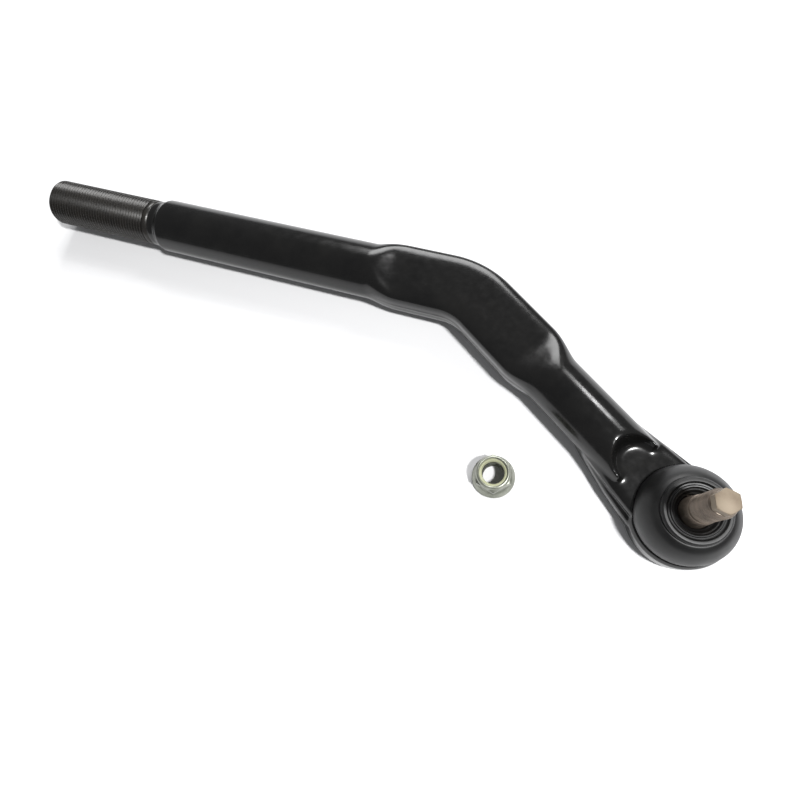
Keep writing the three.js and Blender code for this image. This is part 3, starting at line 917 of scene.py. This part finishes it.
def make_insert():
    """Nylon ring that grips the stud's thread."""
    inner, outer = NUT_BORE_R + 0.1, INSERT_R + 0.1
    ring = spun(filleted([
        (inner, NUT_H - 3.5, 0.2), (outer, NUT_H - 3.6), (outer, NUT_H - 1.3, 0.3),
        (inner + 0.7, NUT_H - 1.2, 0.5), (inner, NUT_H - 2.0, 0.4),
    ], True), 96, True)
    return joined("nylon_ring", placed(ring, offset=(NUT_X, NUT_Y, 0)))


finish_piece(make_nut(), ZINC, "nut", "flange_nut")
finish_piece(make_insert(), NYLON, "nut", "nylon_insert")

# ---- Sealed pieces that keep their CAD shape ----
for node, material in (
    ("upper_bearing", ACETAL), ("lower_seat", ACETAL), ("preload_spring", SPRING_STEEL),
    ("cover_seal", SEAL), ("boot_base_ring", SPRING_STEEL), ("collar_ring", SPRING_STEEL),
):
    mesh = frame["nodes"][node].data
    mesh.materials.clear()
    mesh.materials.append(material)


# ---- Floor, lights and camera ----
FLOOR_SIZE = 3.0
FLOOR_Z = -0.0003   # just under the lip, so that nothing flickers


def make_floor():
    """Pale matt sheet that the part lies on."""
    mesh = bpy.data.meshes.new("floor")
    corners = [(x * FLOOR_SIZE, y * FLOOR_SIZE, 0) for x, y in ((-1, -1), (1, -1), (1, 1), (-1, 1))]
    mesh.from_pydata(corners, [], [(0, 1, 2, 3)])
    floor = bpy.data.objects.new("floor", mesh)
    floor.location.z = FLOOR_Z
    bpy.context.scene.collection.objects.link(floor)
    mat, tree, shader, coords = nodes_for("pale_floor")
    stops = [(0.3, (0.86, 0.86, 0.87)), (0.7, (0.88, 0.88, 0.885))]
    tree.links.new(ramp(tree, noise(tree, coords, 3.0), stops), shader.inputs["Base Color"])
    shader.inputs["Roughness"].default_value = 0.9
    mesh.materials.append(mat)


def area_light(name, location, target, size, power, size_y=None):
    """A square or oblong softbox aimed at target, in metres and watts."""
    light = bpy.data.lights.new(name, "AREA")
    light.energy = power
    light.size = size
    if size_y:
        light.shape = "RECTANGLE"
        light.size_y = size_y
    obj = bpy.data.objects.new(name, light)
    obj.location = location
    obj.rotation_euler = (Vector(target) - Vector(location)).to_track_quat("-Z", "Y").to_euler()
    bpy.context.scene.collection.objects.link(obj)


def make_lights():
    """Small key overhead, a soft fill behind and a strip that draws a line along the neck."""
    area_light("key_overhead", (0.32, -0.08, 1.0), (-0.12, 0.05, 0), 0.09, 13)
    area_light("softbox_back", (-0.3, 1.1, 0.75), (-0.2, 0.05, 0), 0.6, 12)
    area_light("strip_back", (0.22, 0.63, 0.7), (-0.05, 0.04, 0), 0.05, 1.6, 0.2)
    world = bpy.data.worlds.new("studio")
    world.use_nodes = True
    background = world.node_tree.nodes["Background"]
    background.inputs["Color"].default_value = (0.97, 0.98, 1.0, 1)
    background.inputs["Strength"].default_value = 0.22
    bpy.context.scene.world = world
    bpy.context.scene.view_settings.view_transform = "Standard"


CAMERA_AT = Vector((-0.07186, -0.05036, 0.30504))
CAMERA_FORWARD = Vector((-0.23812, 0.21862, -0.94631))
CAMERA_UP = Vector((-0.26024, 0.92435, 0.27903))
CAMERA_LENS = 26.27


def make_camera():
    """Camera looking down on the part from the socket's side."""
    data = bpy.data.cameras.new("camera")
    data.sensor_width = 36
    data.lens = CAMERA_LENS
    data.clip_start = 0.01
    camera = bpy.data.objects.new("camera", data)
    back = -CAMERA_FORWARD.normalized()
    right = CAMERA_UP.cross(back).normalized()
    up = back.cross(right)
    camera.matrix_world = Matrix((right, up, back)).transposed().to_4x4()
    camera.location = CAMERA_AT
    bpy.context.scene.collection.objects.link(camera)
    bpy.context.scene.camera = camera


make_floor()
make_lights()
make_camera()
